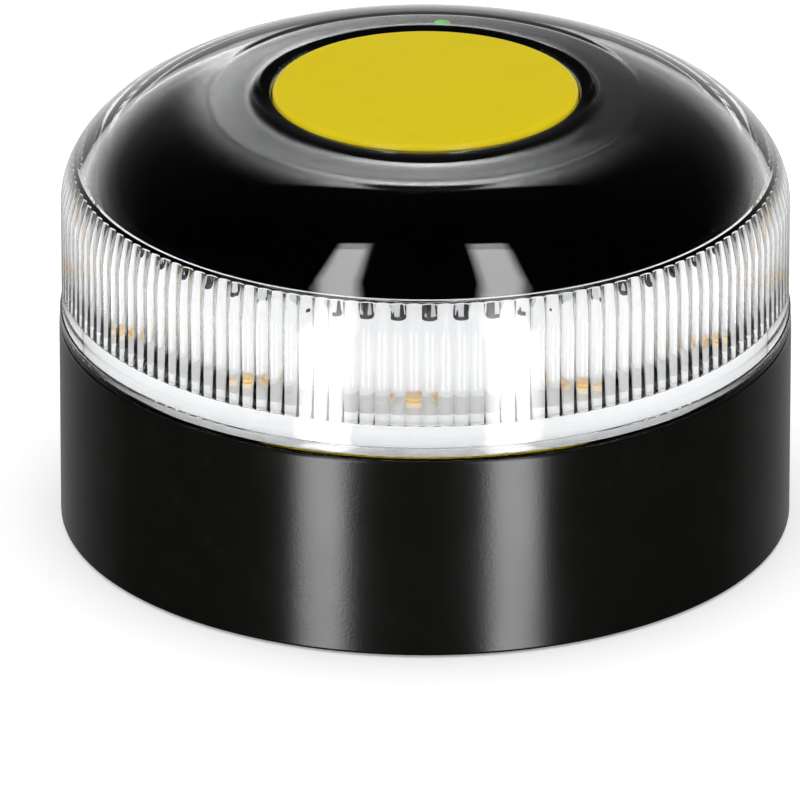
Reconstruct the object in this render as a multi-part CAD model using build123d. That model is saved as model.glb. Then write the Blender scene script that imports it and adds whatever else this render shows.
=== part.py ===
from build123d import *
from math import cos, radians, sin, sqrt
import os

# Magnetic roadside warning beacon: a puck with a clear fluted lens, a push button on top,
# and a battery base that leaves the housing once its lock ring has turned by an eighth of a turn.
# Millimetres, +Z up, origin at the centre of the face it stands on, front of the puck on -Y.

# Driving dimensions
BODY_R = 50.0  # base housing, outside
WALL_R = 47.6  # base housing, inside
HOUSING_Z0 = 0.3  # lower edge of the housing, just clear of the road
HOUSING_Z1 = 28.8  # joint between housing and lens
DECK_Z0, DECK_Z1 = 23.4, 24.8  # floor between the battery bay and the electronics
SKIRT_R0, SKIRT_R1 = 42.0, 43.4  # sealing skirt under the deck

LENS_Z0 = 28.9
LENS_R = 49.65  # clear wall, outside
LENS_INNER_R = 47.0  # clear wall, inside, at the creases between flutes
LENS_FLANGE_R = 49.9
LENS_FLANGE_TOP = 30.7
SHOULDER_R = 22.0  # centre of the quarter ellipses of the dome
SHOULDER_Z = 46.0
OUTER_RISE = 16.1  # height of the outer quarter ellipse
INNER_RISE = 14.5
CREASE_R = 29.3  # the dome ends here in a nearly flat cone
CONE_TOP_Z = 61.95
MOUTH_R = 21.15  # hole for the button
FLUTES = 144
FLUTE_DEPTH = 0.27
FLUTE_START = 1.85  # angle of the first crease, in degrees
FLUTE_Z0, FLUTE_Z1 = 33.2, 50.4

SHROUD_GAP = 0.2  # air between the clear dome and the black one
SHROUD_WALL = 1.8
SHROUD_Z0 = 50.45
WELL_FLOOR_Z = 55.5
WELL_FLOOR_THICK = 1.5
WELL_R = 22.6
COMB_R0, COMB_R1 = 43.8, 45.27  # white ring under the edge of the black dome
COMB_Z0, COMB_Z1 = 47.0, 49.25  # its teeth
TEETH = 72
TOOTH_START = 0.6  # so that each tooth stands behind the middle of every second flute

BUTTON_R = 20.8
BUTTON_TOP = 62.4
BUTTON_CROWN = 0.25
BUTTON_EDGE = 0.8  # rounding of the rim
BUTTON_SKIRT_Z = 57.6
BUTTON_PLATE_Z = 60.7  # underside of the button's top
STEM_R = 3.0
STEM_Z = 52.5
LIGHT_PIPE_Y = 26.8
LIGHT_PIPE_R = 1.15

FOOT_R0, FOOT_R1 = 30.0, 38.0  # rubber foot
FOOT_THICK = 1.0
RETAINER_Z = 0.5
RETAINER_SCREW_R = 24.0
PLATE_Z = 1.5  # underside of the base plate, on the retainer
NECK_R = 38.8
PLUG_R = 41.7
PLUG_Z0, PLUG_Z1 = 6.8, 11.0
MAGNET_R = 12.5
MAGNET_Z0, MAGNET_Z1 = 0.9, 3.9
MAGNET_PAD_R = 14.0

LEDGES = 4  # bayonet ledges in the housing, and lugs on the lock ring
LEDGE_ANGLE, LUG_ANGLE = 34.0, 30.0

CELL_R = 7.1  # AA cell
CELL_LENGTH = 50.5
CELL_PITCH = 15.2
CELL_Z = 14.6
CONTACT_X = 27.3  # face of the contact plates
TRAY_X, TRAY_Y = 29.5, 24.2
TRAY_Z = 5.6
TRAY_WALL = 1.9
CONTACT_POCKET = 4.5  # clear length behind each cell for its spring or its nub
PIN_X = 33.0
EAR_Y = 9.0
EAR_TOP = 7.2
CONTACT_HALF = 4.6  # half the width of a contact plate

MAIN_BOARD_Z = 25.8
BOARD_THICK = 1.6
LED_BOARD_Z = 33.2
LED_BOARD_THICK = 1.2
LED_R = 43.0
LED_COUNT = 12
LED_START = -87.0
BUTTON_BOARD_Z = 46.0
BUTTON_BOARD_R = 28.8
BUTTON_SCREW_R = 18.0
CARRIER_R0, CARRIER_R1 = 44.0, 46.7
REFLECTOR_SCREW_R = 35.5
SHROUD_SCREW_R = 33.0
BOARD_SCREW_R = 38.0

SCREW_R = 0.8  # shank of the small self-tapping screws
SCREW_HEAD_R = 1.7
SCREW_HEAD_H = 1.2


def tube(r_in, r_out, z0, z1):
    outer = Pos(0, 0, z0) * extrude(Circle(r_out), z1 - z0)
    return outer - Pos(0, 0, z0) * extrude(Circle(r_in), z1 - z0)


def disc(radius, z0, z1, x=0, y=0):
    return Pos(x, y, z0) * extrude(Circle(radius), z1 - z0)


def block(width, depth, z0, z1, x=0, y=0):
    return Pos(x, y, z0) * extrude(Rectangle(width, depth), z1 - z0)


def turned(outline):
    """A solid turned about Z from a closed outline given as radius and height."""
    return revolve(Plane.XZ * make_face(outline.edges()), Axis.Z, 360)


def turned_polygon(*points):
    return turned(Polyline(*points, close=True))


def o_ring(radius, z, thick):
    return Pos(0, 0, z) * Torus(radius, thick / 2)


def around(shape, radius, count, start=0.0):
    """Copies of a shape on a circle about Z, each turned to face outwards."""
    return [place * shape for place in PolarLocations(radius, count, start)]


def pan_screw(length):
    """Self-tapping screw pointing down, underside of its head at z = 0."""
    head = fillet(disc(SCREW_HEAD_R, 0, SCREW_HEAD_H).edges().sort_by(Axis.Z)[-1], 0.5)
    slot_floor = SCREW_HEAD_H - 0.6
    slot = block(2.2, 0.5, slot_floor, SCREW_HEAD_H) + block(0.5, 2.2, slot_floor, SCREW_HEAD_H)
    return head + disc(SCREW_R, -length, 0) - slot


def flat_screw(length):
    """Countersunk screw pointing up, face of its head at z = 0."""
    head = turned_polygon((0, 0), (1.9, 0), (SCREW_R, 1.0), (0, 1.0))
    slot = block(2.0, 0.5, 0, 0.6) + block(0.5, 2.0, 0, 0.6)
    return head + disc(SCREW_R, 1.0, length) - slot


def coil(radius, wire, z0, z1, turns):
    """Compression spring of round wire standing on z0, its wire kept inside z0 to z1."""
    low, high = z0 + wire / 2, z1 - wire / 2
    path = Pos(0, 0, low) * Helix((high - low) / turns, high - low, radius)
    section = Plane(path @ 0, z_dir=path % 0) * Circle(wire / 2)
    return sweep(section, path=path)


def ellipse_radius(z, reach, rise):
    return SHOULDER_R + reach * sqrt(1 - ((z - SHOULDER_Z) / rise) ** 2)


def ellipse_height(r, reach, rise):
    return SHOULDER_Z + rise * sqrt(1 - ((r - SHOULDER_R) / reach) ** 2)


def dome_arc(reach, rise, r0, z0, r1, z1):
    """Stretch of a quarter ellipse of the dome, between two of its points."""
    quarters = [r0 + (r1 - r0) * share for share in (0.25, 0.5, 0.75)]
    knots = [(r0, z0), *((r, ellipse_height(r, reach, rise)) for r in quarters), (r1, z1)]
    return Spline(*knots, tangents=(ellipse_slope(r0, z0, reach, rise), ellipse_slope(r1, z1, reach, rise)))


def ellipse_slope(r, z, reach, rise):
    """Direction along the ellipse, inwards and upwards."""
    return (-(z - SHOULDER_Z) / rise * reach, (r - SHOULDER_R) / reach * rise)


# Battery base: everything that stays on the car roof when the housing is lifted off


def foot_pad():
    """Rubber ring that keeps the beacon from sliding and from scratching paint."""
    groove, groove_deep = 0.6, 0.3
    grooves = [tube(r, r + groove, 0, groove_deep) for r in (31.8, 33.7, 35.6)]
    return tube(FOOT_R0, FOOT_R1, 0, FOOT_THICK) - grooves


def ring_retainer():
    """Bottom disc that keeps the lock ring on the neck of the base plate."""
    plate = tube(14.2, 41.0, RETAINER_Z, PLATE_Z) - tube(FOOT_R0, FOOT_R1, RETAINER_Z, FOOT_THICK)
    head = turned_polygon((0, RETAINER_Z), (1.9, RETAINER_Z), (SCREW_R, PLATE_Z), (0, PLATE_Z))
    return plate - around(head, RETAINER_SCREW_R, 3, 90)


def retainer_screws():
    screws = around(flat_screw(4.0), RETAINER_SCREW_R, 3, 90)
    return Part() + [Pos(0, 0, RETAINER_Z) * screw for screw in screws]


def base_plate():
    """Cup that carries the magnet, the tray and the sealing plug."""
    shell = turned_polygon(
        (MAGNET_R + 0.1, PLATE_Z), (NECK_R, PLATE_Z), (NECK_R, 5.2), (43.5, 5.2), (43.5, PLUG_Z0),
        (PLUG_R, PLUG_Z0), (PLUG_R, PLUG_Z1 - 0.5), (PLUG_R - 0.5, PLUG_Z1), (39.7, PLUG_Z1), (39.7, PLUG_Z0),
        (36.8, PLUG_Z0), (36.8, 2.7), (14.2, 2.7), (14.2, 5.1), (0, 5.1), (0, MAGNET_Z1),
        (MAGNET_R + 0.1, MAGNET_Z1),
    )
    seal_groove = tube(40.7, PLUG_R, 8.5, 9.9)
    posts = [disc(2.2, 2.6, 20.0, x, 0) - disc(0.9, 6.8, 20.0, x, 0) for x in (-PIN_X, PIN_X)]
    corners = [(x, y) for x in (-PIN_X, PIN_X) for y in (-EAR_Y, EAR_Y)]
    standoffs = [disc(2.4, 2.6, TRAY_Z, x, y) - disc(SCREW_R, 3.0, TRAY_Z, x, y) for x, y in corners]
    bosses = around(disc(2.4, 2.6, 5.0), RETAINER_SCREW_R, 3, 90)
    pilots = around(disc(SCREW_R, PLATE_Z, 4.5), RETAINER_SCREW_R, 3, 90)
    return shell - seal_groove + posts + standoffs + bosses - pilots


def magnet():
    return chamfer(disc(MAGNET_R, MAGNET_Z0, MAGNET_Z1).edges(), 0.3)


def magnet_pad():
    """Thin cover disc under the magnet, a little above the road face."""
    return chamfer(disc(MAGNET_PAD_R, HOUSING_Z0, MAGNET_Z0).edges().sort_by(Axis.Z)[0], 0.2)


def base_seal():
    return o_ring(41.3, 9.2, 1.2)


def battery_tray():
    """Open tray with a round trough for each cell and an upright wall at both ends."""
    body = block(2 * TRAY_X, 2 * TRAY_Y, TRAY_Z, CELL_Z)
    trough = Rot(0, 90, 0) * Cylinder(CELL_R + 0.2, 2 * (TRAY_X - TRAY_WALL))
    body -= [Pos(0, i * CELL_PITCH, CELL_Z) * trough for i in (-1, 0, 1)]
    pocket = block(CONTACT_POCKET, 2 * TRAY_Y - 3.2, CELL_Z - CELL_R - 0.2, CELL_Z)
    for side in (-1, 1):
        body += block(TRAY_WALL, 2 * TRAY_Y, TRAY_Z, 20.5, side * (TRAY_X - TRAY_WALL / 2))
        body -= Pos(side * (TRAY_X - TRAY_WALL - CONTACT_POCKET / 2), 0, 0) * pocket
        for y in (-EAR_Y, EAR_Y):
            body += block(4.0, 5.2, TRAY_Z, EAR_TOP, side * (PIN_X - 1.75), y)
            body += disc(2.6, TRAY_Z, EAR_TOP, side * PIN_X, y)
            body -= disc(SCREW_R, TRAY_Z, EAR_TOP, side * PIN_X, y)
    return body - tube(36.5, 45.0, TRAY_Z, PLUG_Z0 + 0.1)


def tray_screws():
    places = [(x, y) for x in (-PIN_X, PIN_X) for y in (-EAR_Y, EAR_Y)]
    return Part() + [Pos(x, y, EAR_TOP) * pan_screw(4.0) for x, y in places]


def cell(direction):
    """AA cell with its nub on the +X side, or on the -X side for direction -1."""
    can_end = CONTACT_X - 1.4
    back = CONTACT_X - CELL_LENGTH
    outline = Polyline(
        (0, back + 0.3), (CELL_R - 2.2, back + 0.3), (CELL_R - 2.0, back), (CELL_R - 0.4, back),
        (CELL_R, back + 0.4), (CELL_R, can_end - 0.5), (CELL_R - 0.5, can_end), (CELL_R - 1.3, can_end),
        (CELL_R - 1.6, can_end - 0.3), (2.75, can_end - 0.3), (2.75, CONTACT_X - 0.3), (2.45, CONTACT_X),
        (0, CONTACT_X), close=True,
    )
    upright = turned(outline)
    return Pos(0, 0, CELL_Z) * Rot(0, 90 * direction, 0) * upright


def contact_spring(direction):
    """Flattened coil that presses on the flat end of a cell, across from its nub."""
    length = 2 * CONTACT_X - CELL_LENGTH
    spring = coil(3.4, 0.7, 0, length, 3)
    return Pos(-direction * CONTACT_X, 0, CELL_Z) * Rot(0, 90 * direction, 0) * spring


def contact_plate(side, y0, y1):
    """Nickel strip on an end wall of the tray, from y0 to y1."""
    plate = block(0.3, y1 - y0, 8.6, 19.0, side * (CONTACT_X + 0.15), (y0 + y1) / 2)
    return fillet(plate.edges().filter_by(Axis.X), 1.2)


def link_plates():
    """Two strips that join the cells in series, one at each end of the tray."""
    right = contact_plate(1, -CELL_PITCH - CONTACT_HALF, CONTACT_HALF)
    left = contact_plate(-1, -CONTACT_HALF, CELL_PITCH + CONTACT_HALF)
    return Part() + [right, left]


def terminal_plates():
    near, far = CELL_PITCH - CONTACT_HALF, CELL_PITCH + CONTACT_HALF
    return Part() + [contact_plate(1, near, far), contact_plate(-1, -far, -near)]


def supply_pins():
    """Two sprung pins that carry the battery voltage up to the main board."""
    pin = disc(0.9, 6.8, 22.6) + disc(1.3, 20.0, 20.8) + disc(0.55, 22.6, 25.5)
    return Part() + [Pos(x, 0, 0) * pin for x in (-PIN_X, PIN_X)]


# Lock ring: turns an eighth of a turn under the housing


def sector(r_in, r_out, z0, z1, middle, width):
    """Piece of a flat ring, width degrees wide."""
    edge0, edge1 = radians(middle - width / 2), radians(middle + width / 2)
    mid = radians(middle)
    outer = ThreePointArc(
        (r_out * cos(edge0), r_out * sin(edge0)), (r_out * cos(mid), r_out * sin(mid)),
        (r_out * cos(edge1), r_out * sin(edge1)),
    )
    inner = ThreePointArc(
        (r_in * cos(edge0), r_in * sin(edge0)), (r_in * cos(mid), r_in * sin(mid)),
        (r_in * cos(edge1), r_in * sin(edge1)),
    )
    outline = outer + inner + Line(outer @ 0, inner @ 0) + Line(outer @ 1, inner @ 1)
    return Pos(0, 0, z0) * extrude(make_face(outline.edges()), z1 - z0)


def lock_ring():
    ring = turned_polygon(
        (39.1, 1.7), (41.3, 1.7), (41.3, 0.6), (47.2, 0.6), (47.2, 1.4), (44.4, 1.4), (44.4, 5.0),
        (39.1, 5.0),
    )
    for i in range(LEDGES):
        ring += sector(44.0, 46.9, 3.5, 5.0, 45 + 360 / LEDGES * i, LUG_ANGLE)
    for side in (0, 180):
        ring -= sector(42.4, 45.9, 0.6, 1.3, side + 90, 7.0)
    return ring


# Housing: the satin black drum with the electronics, the lens and the button in it


def base_housing():
    drum = tube(WALL_R, BODY_R, HOUSING_Z0, HOUSING_Z1)
    rims = drum.edges().filter_by(GeomType.CIRCLE).filter_by(lambda e: e.radius > BODY_R - 0.1)
    drum = fillet(rims, 0.4)
    drum += disc(WALL_R + 0.5, DECK_Z0, DECK_Z1)
    drum += tube(SKIRT_R0, SKIRT_R1, 7.0, DECK_Z0)
    for i in range(LEDGES):
        drum += sector(45.0, WALL_R + 0.5, 1.6, 3.2, 360 / LEDGES * i, LEDGE_ANGLE)
    drum += around(disc(2.4, 20.8, MAIN_BOARD_Z), BOARD_SCREW_R, 4)
    drum -= around(disc(SCREW_R, 21.6, MAIN_BOARD_Z), BOARD_SCREW_R, 4)
    drum -= [disc(1.2, DECK_Z0, DECK_Z1, x, 0) for x in (-PIN_X, PIN_X)]
    drum -= around(disc(SCREW_R, DECK_Z0, DECK_Z1), (CARRIER_R0 + CARRIER_R1) / 2, 3, 30)
    return drum - tube(48.2, 49.2, 27.9, HOUSING_Z1)


def lens_seal():
    return tube(48.25, 49.15, 27.95, LENS_Z0)


def lens_body():
    """Clear shell before its flutes are cut: wall, flange and dome in one turned piece."""
    outer_reach = LENS_R - SHOULDER_R
    inner_reach = LENS_INNER_R - SHOULDER_R
    crease_z = ellipse_height(CREASE_R, outer_reach, OUTER_RISE)
    ledge_r = ellipse_radius(FLUTE_Z1, inner_reach, INNER_RISE)
    inner_top = SHOULDER_Z + INNER_RISE
    land_r = LENS_INNER_R - FLUTE_DEPTH
    wall = Polyline(
        (LENS_INNER_R, LENS_Z0), (LENS_FLANGE_R - 0.2, LENS_Z0), (LENS_FLANGE_R, LENS_Z0 + 0.2),
        (LENS_FLANGE_R, LENS_FLANGE_TOP - 0.2), (LENS_FLANGE_R - 0.2, LENS_FLANGE_TOP),
        (LENS_R, LENS_FLANGE_TOP), (LENS_R, SHOULDER_Z),
    )
    top = Polyline(
        (CREASE_R, crease_z), (MOUTH_R + 0.4, CONE_TOP_Z), (MOUTH_R, CONE_TOP_Z - 0.4), (MOUTH_R, inner_top),
        (SHOULDER_R, inner_top),
    )
    inside = Polyline(
        (ledge_r, FLUTE_Z1), (land_r, FLUTE_Z1), (land_r, FLUTE_Z0), (LENS_INNER_R, FLUTE_Z0),
        (LENS_INNER_R, LENS_Z0),
    )
    outer_dome = dome_arc(outer_reach, OUTER_RISE, LENS_R, SHOULDER_Z, CREASE_R, crease_z)
    inner_dome = dome_arc(inner_reach, INNER_RISE, ledge_r, FLUTE_Z1, SHOULDER_R, inner_top)
    return turned(wall + outer_dome + top + inner_dome + inside)


def flute_cutter():
    """Space inside the wall, bounded by arcs that bulge inwards between the creases."""
    step = 360 / FLUTES
    hump = LENS_INNER_R - FLUTE_DEPTH
    arcs = []
    for i in range(FLUTES):
        places = [(LENS_INNER_R, 0), (hump, 0.5), (LENS_INNER_R, 1)]
        turns = [(r, radians(FLUTE_START + step * (i + share))) for r, share in places]
        arcs.append(ThreePointArc(*((r * cos(turn), r * sin(turn)) for r, turn in turns)))
    return Pos(0, 0, FLUTE_Z0) * extrude(make_face(arcs), FLUTE_Z1 - FLUTE_Z0)


def lens_dome():
    return lens_body() - flute_cutter()


def top_shroud():
    """Glossy black dome under the clear one, with the well that holds the button."""
    reach = LENS_INNER_R - SHOULDER_R - SHROUD_GAP
    rise = INNER_RISE - SHROUD_GAP
    rim_r = ellipse_radius(SHROUD_Z0, reach, rise)
    inner_r = ellipse_radius(SHROUD_Z0, reach - SHROUD_WALL, rise - SHROUD_WALL)
    top_z = SHOULDER_Z + rise
    outer = dome_arc(reach, rise, rim_r, SHROUD_Z0, SHOULDER_R, top_z)
    well_top_r = WELL_R + 0.6
    roof_z = ellipse_height(well_top_r, reach - SHROUD_WALL, rise - SHROUD_WALL)
    inner = dome_arc(reach - SHROUD_WALL, rise - SHROUD_WALL, inner_r, SHROUD_Z0, well_top_r, roof_z)
    well = Polyline(
        (SHOULDER_R, top_z), (MOUTH_R, top_z), (MOUTH_R, WELL_FLOOR_Z), (STEM_R + 0.3, WELL_FLOOR_Z),
        (STEM_R + 0.3, WELL_FLOOR_Z - WELL_FLOOR_THICK), (WELL_R, WELL_FLOOR_Z - WELL_FLOOR_THICK),
        (WELL_R, roof_z - 0.4), (well_top_r, roof_z),
    )
    rim = Line((rim_r, SHROUD_Z0), (inner_r, SHROUD_Z0))
    shell = turned(outer + well + inner + rim)
    shell += around(disc(2.2, BUTTON_BOARD_Z + BOARD_THICK, 54.2), BUTTON_SCREW_R, 4, 45)
    shell -= around(disc(SCREW_R, BUTTON_BOARD_Z + BOARD_THICK, 53.5), BUTTON_SCREW_R, 4, 45)
    boss_top = ellipse_height(SHROUD_SCREW_R + 2.2, reach - SHROUD_WALL, rise - SHROUD_WALL) + 0.5
    shell += around(disc(2.2, 51.2, boss_top), SHROUD_SCREW_R, 4)
    shell -= around(disc(SCREW_R, 51.2, 54.8), SHROUD_SCREW_R, 4)
    return shell - disc(LIGHT_PIPE_R, 54, 61, 0, LIGHT_PIPE_Y)


def comb_ring():
    """White ring under the edge of the black dome, with a tooth behind every second flute."""
    tooth = block(1.1, 1.4, COMB_Z0, COMB_Z1)
    teeth = around(tooth, (COMB_R0 + COMB_R1) / 2, TEETH, TOOTH_START)
    return tube(COMB_R0, COMB_R1, COMB_Z1, SHROUD_Z0) + teeth


def status_light_pipe():
    """Clear rod that brings the status light up to the surface of the black dome."""
    return disc(LIGHT_PIPE_R, 49.4, 59.95, 0, LIGHT_PIPE_Y)


def reflector():
    """White cone behind the lamps, flanged at both ends."""
    foot, head = 40.8, 37.6
    cone = turned_polygon(
        (33.6, 34.4), (foot, 34.4), (foot, 35.4), (head, 50.0), (head, 51.2), (30.6, 51.2), (30.6, 50.0),
        (head - 1.3, 50.0), (foot - 1.4, 35.6), (33.6, 35.6),
    )
    cone -= around(disc(SCREW_R, 34.4, 35.6), REFLECTOR_SCREW_R, 4, 45)
    return cone - around(disc(SCREW_R, 50.0, 51.2), SHROUD_SCREW_R, 4)


def reflector_screws():
    return Part() + [Pos(0, 0, 35.6) * s for s in around(pan_screw(5.0), REFLECTOR_SCREW_R, 4, 45)]


def shroud_screws():
    upward = Rot(180, 0, 0) * pan_screw(4.0)
    return Part() + [Pos(0, 0, 50.0) * s for s in around(upward, SHROUD_SCREW_R, 4)]


def led_carrier():
    """White ring that stands on the deck and carries the lamp board."""
    ring = turned_polygon(
        (CARRIER_R0, DECK_Z1), (CARRIER_R1, DECK_Z1), (CARRIER_R1, LED_BOARD_Z), (33.0, LED_BOARD_Z),
        (33.0, 31.8), (CARRIER_R0, 31.8),
    )
    ring += around(disc(2.2, 29.4, 32.0), REFLECTOR_SCREW_R, 4, 45)
    ring -= around(disc(SCREW_R, 30.4, LED_BOARD_Z), REFLECTOR_SCREW_R, 4, 45)
    return ring - around(disc(SCREW_R, DECK_Z1, 30.0), (CARRIER_R0 + CARRIER_R1) / 2, 3, 30)


def carrier_screws():
    upward = Rot(180, 0, 0) * pan_screw(6.0)
    return Part() + [Pos(0, 0, DECK_Z0) * s for s in around(upward, (CARRIER_R0 + CARRIER_R1) / 2, 3, 30)]


def led_board():
    board = tube(30.0, 46.2, LED_BOARD_Z, LED_BOARD_Z + LED_BOARD_THICK)
    return board - around(disc(SCREW_R, LED_BOARD_Z, LED_BOARD_Z + LED_BOARD_THICK), REFLECTOR_SCREW_R, 4, 45)


def led_chips():
    """Twelve surface-mounted lamps, each a body with a raised domed window."""
    top = LED_BOARD_Z + LED_BOARD_THICK
    chip = block(2.8, 3.5, top, top + 0.9) + block(2.0, 2.6, top + 0.9, top + 1.3)
    return Part() + around(chip, LED_R, LED_COUNT, LED_START)


def main_board():
    top = MAIN_BOARD_Z + BOARD_THICK
    board = disc(CARRIER_R0 - 0.4, MAIN_BOARD_Z, top)
    return board - around(disc(SCREW_R, MAIN_BOARD_Z, top), BOARD_SCREW_R, 4)


def board_screws():
    top = MAIN_BOARD_Z + BOARD_THICK
    return Part() + [Pos(0, 0, top) * screw for screw in around(pan_screw(4.4), BOARD_SCREW_R, 4)]


def controller_chip():
    top = MAIN_BOARD_Z + BOARD_THICK
    legs = [block(9.0, 0.4, top, top + 0.3, 17, y * 0.8 - 18) for y in range(-4, 5)]
    return block(7.0, 7.8, top + 0.1, top + 1.5, 17, -18) + legs


def modem_shield():
    """Drawn metal can over the radio."""
    top = MAIN_BOARD_Z + BOARD_THICK
    can = block(17.0, 21.0, top, top + 2.4, -17, 4)
    return fillet(can.edges().filter_by(Axis.Z), 1.0)


def gnss_antenna():
    """Ceramic patch with a silvered face."""
    top = MAIN_BOARD_Z + BOARD_THICK
    return block(18.0, 18.0, top, top + 4.0, 12, 10) + disc(0.7, top + 4.0, top + 4.3, 13.4, 10)


def link_header():
    """Pins and blocks that join the main board to the button board."""
    top = MAIN_BOARD_Z + BOARD_THICK
    pins = [disc(0.32, top, BUTTON_BOARD_Z, x, -8) for x in (-3.81, -1.27, 1.27, 3.81)]
    lower = block(10.2, 2.5, top, top + 2.5, 0, -8)
    upper = block(10.2, 2.5, BUTTON_BOARD_Z - 2.5, BUTTON_BOARD_Z, 0, -8)
    return lower + upper + pins


def button_board():
    board = disc(BUTTON_BOARD_R, BUTTON_BOARD_Z, BUTTON_BOARD_Z + BOARD_THICK)
    return board - around(disc(SCREW_R, BUTTON_BOARD_Z, BUTTON_BOARD_Z + BOARD_THICK), BUTTON_SCREW_R, 4, 45)


def button_board_screws():
    upward = Rot(180, 0, 0) * pan_screw(5.0)
    return Part() + [Pos(0, 0, BUTTON_BOARD_Z) * screw for screw in around(upward, BUTTON_SCREW_R, 4, 45)]


def switch_body():
    """Tact switch, twelve millimetres square."""
    floor = BUTTON_BOARD_Z + BOARD_THICK
    body = block(12.0, 12.0, floor, floor + 3.5)
    return chamfer(body.edges().filter_by(Axis.Z), 0.6) - disc(3.4, floor + 1.0, floor + 3.5)


def status_led():
    floor = BUTTON_BOARD_Z + BOARD_THICK
    case = block(2.0, 1.3, floor, floor + 0.6, 0, LIGHT_PIPE_Y)
    return case + block(1.3, 1.1, floor + 0.6, floor + 1.1, 0, LIGHT_PIPE_Y)


def button_spring():
    return coil(5.0, 0.6, WELL_FLOOR_Z, BUTTON_PLATE_Z, 5)


# Button and switch plunger


def power_button():
    """Yellow cap with a crowned face, a sealing skirt and a stem that reaches the switch."""
    face_r = BUTTON_R - BUTTON_EDGE
    edge_z = BUTTON_TOP - BUTTON_EDGE
    peak = BUTTON_TOP + BUTTON_CROWN
    crown = ThreePointArc((0, peak), (face_r / 2, BUTTON_TOP + BUTTON_CROWN * 0.75), (face_r, BUTTON_TOP))
    edge = ThreePointArc((face_r, BUTTON_TOP), (BUTTON_R - 0.23, BUTTON_TOP - 0.25), (BUTTON_R, edge_z))
    skin = Polyline(
        (BUTTON_R, edge_z), (BUTTON_R, 60.2), (20.05, 60.2), (20.05, 59.0), (BUTTON_R, 59.0),
        (BUTTON_R, BUTTON_SKIRT_Z), (18.8, BUTTON_SKIRT_Z), (18.8, BUTTON_PLATE_Z), (STEM_R, BUTTON_PLATE_Z),
        (STEM_R, STEM_Z), (0, STEM_Z), (0, peak),
    )
    return turned(crown + edge + skin)


def button_seal():
    return o_ring(20.6, 59.6, 1.0)


def switch_plunger():
    return chamfer(disc(3.1, 50.2, 52.4).edges().sort_by(Axis.Z)[-1], 0.4)


NODES = {
    "foot_pad": foot_pad,
    "ring_retainer": ring_retainer,
    "retainer_screws": retainer_screws,
    "base_plate": base_plate,
    "magnet": magnet,
    "magnet_pad": magnet_pad,
    "base_seal": base_seal,
    "battery_tray": battery_tray,
    "tray_screws": tray_screws,
    "link_plates": link_plates,
    "terminal_plates": terminal_plates,
    "supply_pins": supply_pins,
    "lock_ring": lock_ring,
    "base_housing": base_housing,
    "lens_seal": lens_seal,
    "lens_dome": lens_dome,
    "top_shroud": top_shroud,
    "comb_ring": comb_ring,
    "status_light_pipe": status_light_pipe,
    "reflector": reflector,
    "reflector_screws": reflector_screws,
    "shroud_screws": shroud_screws,
    "led_carrier": led_carrier,
    "carrier_screws": carrier_screws,
    "led_board": led_board,
    "led_chips": led_chips,
    "main_board": main_board,
    "board_screws": board_screws,
    "controller_chip": controller_chip,
    "modem_shield": modem_shield,
    "gnss_antenna": gnss_antenna,
    "link_header": link_header,
    "button_board": button_board,
    "button_board_screws": button_board_screws,
    "switch_body": switch_body,
    "status_led": status_led,
    "button_spring": button_spring,
    "power_button": power_button,
    "button_seal": button_seal,
    "switch_plunger": switch_plunger,
}

os.makedirs("parts", exist_ok=True)
for name, make in NODES.items():
    export_step(make(), f"parts/{name}.step")
for number, direction in enumerate((1, -1, 1), start=1):
    y = (number - 2) * CELL_PITCH
    export_step(Pos(0, y, 0) * cell(direction), f"parts/cell_{number}.step")
    export_step(Pos(0, y, 0) * contact_spring(direction), f"parts/contact_spring_{number}.step")
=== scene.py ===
from math import atan2, cos, pi, radians, sin, sqrt

import bpy
from mathutils import Matrix, Vector
from numpy import interp


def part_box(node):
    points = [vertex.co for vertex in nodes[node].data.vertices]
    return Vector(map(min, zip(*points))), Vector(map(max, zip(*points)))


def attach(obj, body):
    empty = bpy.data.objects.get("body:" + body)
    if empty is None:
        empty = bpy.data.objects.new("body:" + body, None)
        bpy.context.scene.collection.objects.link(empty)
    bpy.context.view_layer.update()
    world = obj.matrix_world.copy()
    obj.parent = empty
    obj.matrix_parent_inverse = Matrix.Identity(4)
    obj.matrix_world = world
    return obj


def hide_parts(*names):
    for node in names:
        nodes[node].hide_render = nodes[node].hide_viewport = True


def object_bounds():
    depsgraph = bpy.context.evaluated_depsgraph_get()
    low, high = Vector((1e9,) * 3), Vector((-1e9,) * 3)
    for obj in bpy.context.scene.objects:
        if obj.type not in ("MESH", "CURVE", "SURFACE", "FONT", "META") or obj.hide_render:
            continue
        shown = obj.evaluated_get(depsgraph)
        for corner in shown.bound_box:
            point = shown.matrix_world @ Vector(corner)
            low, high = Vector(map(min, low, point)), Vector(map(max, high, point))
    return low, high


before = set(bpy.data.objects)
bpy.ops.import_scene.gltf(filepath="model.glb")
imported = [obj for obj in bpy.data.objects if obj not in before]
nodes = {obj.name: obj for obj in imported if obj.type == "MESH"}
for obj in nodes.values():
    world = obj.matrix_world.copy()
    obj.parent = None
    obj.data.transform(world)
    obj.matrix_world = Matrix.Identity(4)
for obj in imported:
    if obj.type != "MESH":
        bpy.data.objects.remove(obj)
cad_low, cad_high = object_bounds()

MM = 0.001

# ---------------------------------------------------------------------------------------------
# Studio. A white sweep under an even white surround, which gloss sees as dark except low down
# behind, and two tall soft panels in front that draw upright streaks on the drum and the dome.
# ---------------------------------------------------------------------------------------------
scene = bpy.context.scene
scene.view_settings.view_transform = "Standard"
scene.cycles.max_bounces = 24
scene.cycles.transmission_bounces = 20
scene.cycles.glossy_bounces = 8

CAMERA_TURN = radians(5.0)  # the camera stands this far round from the front, towards +X
CAMERA_HEIGHT = radians(23.6)
CAMERA_DISTANCE = 2.2
BODY_SHARE = 0.901  # the drum's diameter as a share of the view's height

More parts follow.
